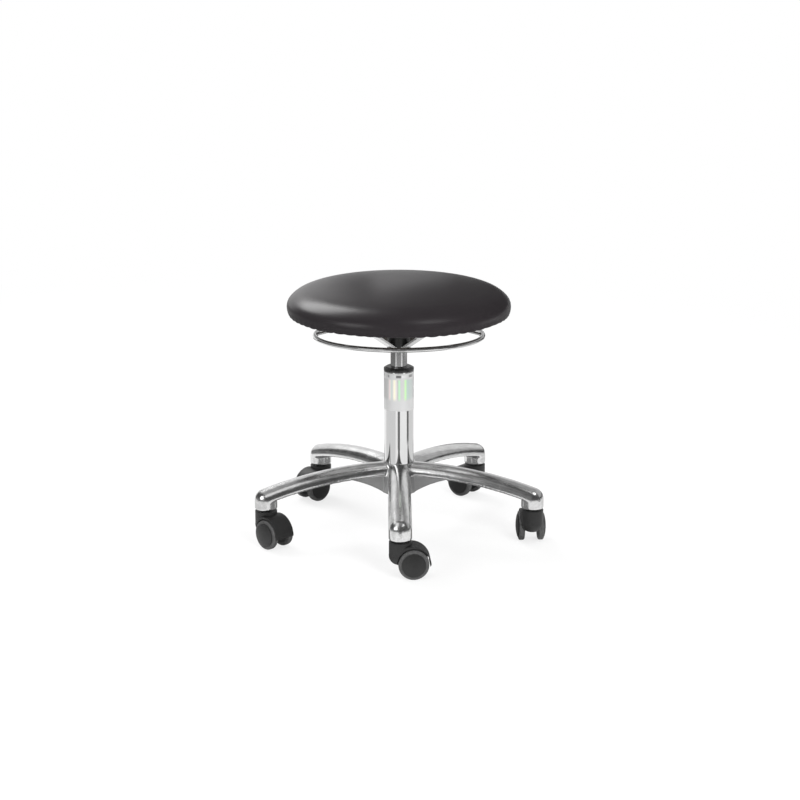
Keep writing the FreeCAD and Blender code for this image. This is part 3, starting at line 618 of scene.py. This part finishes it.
# Seat board: a disc of birch plywood, stained nearly black, bolted to the bars through tee nuts that
# are driven in from above. The cover's hem is stapled round its underside.
stain_dark = (0.045, 0.038, 0.032, 1.0)
stain_light = (0.095, 0.082, 0.070, 1.0)
plywood = Finish("birch_plywood", {"Specular IOR Level": 0.3})
fibres = plywood.place.stretched(1.0, 14.0, 1.0).grain(18.0, 5.0, 0.6)
ring_sockets = {"Vector": plywood.place, "Scale": 9.0, "Distortion": 7.0, "Detail": 3.0}
growth_rings = plywood.place.node("TexWave", {"wave_type": "BANDS"}, ring_sockets)
plywood.vary("Base Color", (0.6 * fibres + 0.4 * growth_rings).blend(stain_dark, stain_light))
plywood.vary("Roughness", 0.55 + 0.25 * fibres)
plywood.emboss(fibres, 0.3, 0.0004)
dress(plywood, "seat_board")
dress(plated, "mounting_bolts", "tee_nuts", "cover_staples")


# Cushion: moulded foam on the board under one piece of charcoal leatherette, which is pulled round
# the rim and stapled underneath, so that its lower edge gathers in small puckers. Its outline is a
# broad crown and a rolled edge, as arcs that run into one another, and is spun round the column.
seat_radius = 0.1875
crown_end = 6.0
edge_arcs = ((9.0, 0.520), (22.0, 0.084), (48.0, 0.048), (90.0, 0.0175), (114.8, 0.025))
step_length = 0.0045
round_steps = 384
hem_inner = 0.146
board_low, board_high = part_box("seat_board")
cover_low, cover_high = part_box("seat_cover")
board_rim = board_high.x + 0.0003
board_face = board_high.z + 0.0015
hem_z = cover_low.z

# Each arc is how steep it is at its end, in degrees, and its radius. The crown's radius follows from
# the width that the arcs from there to the widest place leave it.
edge_width = 0.0
before = crown_end
for end_turn, radius in edge_arcs[:-1]:
    edge_width += radius * (math.sin(math.radians(end_turn)) - math.sin(math.radians(before)))
    before = end_turn
crown_radius = (seat_radius - edge_width) / math.sin(math.radians(crown_end))
outline = [Vector((0.0, 0.0, cover_high.z))]
before = 0.0
for end_turn, radius in ((crown_end, crown_radius),) + edge_arcs:
    start_turn = math.radians(before)
    sweep = math.radians(end_turn) - start_turn
    centre = outline[-1] - radius * Vector((math.sin(start_turn), 0.0, math.cos(start_turn)))
    steps = max(3, round(radius * sweep / step_length))
    for index in range(1, steps + 1):
        turn = start_turn + sweep * index / steps
        outline.append(centre + radius * Vector((math.sin(turn), 0.0, math.cos(turn))))
    before = end_turn
widest_z = centre.z
rim_x = outline[-1].x

# From the rim the outline follows the hem inwards under the board, and goes back over the board.
for x, z in (
    (rim_x - 0.0006, hem_z + 0.0006),
    (rim_x - 0.0022, hem_z),
    (0.178, hem_z),
    (0.170, hem_z),
    (0.162, hem_z),
    (0.154, hem_z),
    (hem_inner, hem_z),
    (hem_inner, board_low.z),
    (0.165, board_low.z),
    (board_rim, board_low.z),
    (board_rim, board_face),
    (0.10, board_face),
    (0.0, board_face),
):
    outline.append(Vector((x, 0.0, z)))
cushion_shape = bmesh.new()
points = [cushion_shape.verts.new(place) for place in outline]
edges = [cushion_shape.edges.new(pair) for pair in zip(points, points[1:])]
bmesh.ops.spin(
    cushion_shape, geom=points + edges, cent=(0, 0, 0), axis=(0, 0, 1), dvec=(0, 0, 0),
    angle=2 * math.pi, steps=round_steps, use_merge=True,
)
bmesh.ops.remove_doubles(cushion_shape, verts=cushion_shape.verts, dist=0.00001)
bmesh.ops.recalc_face_normals(cushion_shape, faces=cushion_shape.faces)

# The puckers: the lower edge bulges down between the staples, unevenly, and is pulled flat at the hem.
gathers = 61
gather_depth = 0.0018
pucker_top = board_low.z + 0.02
flat_hem = 0.0005
hem_slope = 0.02
for point in cushion_shape.verts:
    x, y, z = point.co
    reach = math.hypot(x, y)
    if z < widest_z and reach > hem_inner + flat_hem and z < pucker_top:
        turn = math.atan2(y, x)
        fold = 0.5 * gathers * turn + 0.8 * math.sin(3 * turn + 1.0) + 0.5 * math.sin(8 * turn + 2.0)
        bulge = abs(math.sin(fold)) ** 0.7
        unevenness = 0.62 + 0.25 * math.sin(5 * turn + 0.7) + 0.13 * math.sin(13 * turn)
        drop = (widest_z - z) / (widest_z - hem_z)
        inward = min(1.0, (reach - hem_inner) / hem_slope)
        pull = gather_depth * bulge * unevenness * min(1.0, drop) ** 1.5 * inward
        point.co = (x * (1.0 + 0.5 * pull / reach), y * (1.0 + 0.5 * pull / reach), z - pull)
for face in cushion_shape.faces:
    face.smooth = True
cushion_mesh = bpy.data.meshes.new("cushion")
cushion_shape.to_mesh(cushion_mesh)
cushion_shape.free()

charcoal_dark = (0.020, 0.017, 0.019, 1.0)
charcoal_light = (0.024, 0.021, 0.023, 1.0)
leatherette = Finish("charcoal_leatherette", {"Specular IOR Level": 0.28})
pore_sockets = {"Vector": leatherette.place, "Scale": 620.0}
pores = leatherette.place.node("TexVoronoi", {"feature": "DISTANCE_TO_EDGE"}, pore_sockets)
shade = leatherette.place.grain(14.0, 3.0)
leatherette.vary("Base Color", shade.blend(charcoal_dark, charcoal_light))
leatherette.vary("Roughness", 0.27 + 0.04 * leatherette.place.grain(240.0) + 0.04 * shade)
leatherette.emboss(pores.between(0.0, 0.25), 0.10, 0.0001)
cushion = add_piece("seat_cushion", cushion_mesh, leatherette, "seat")
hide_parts("seat_cover", "seat_foam")
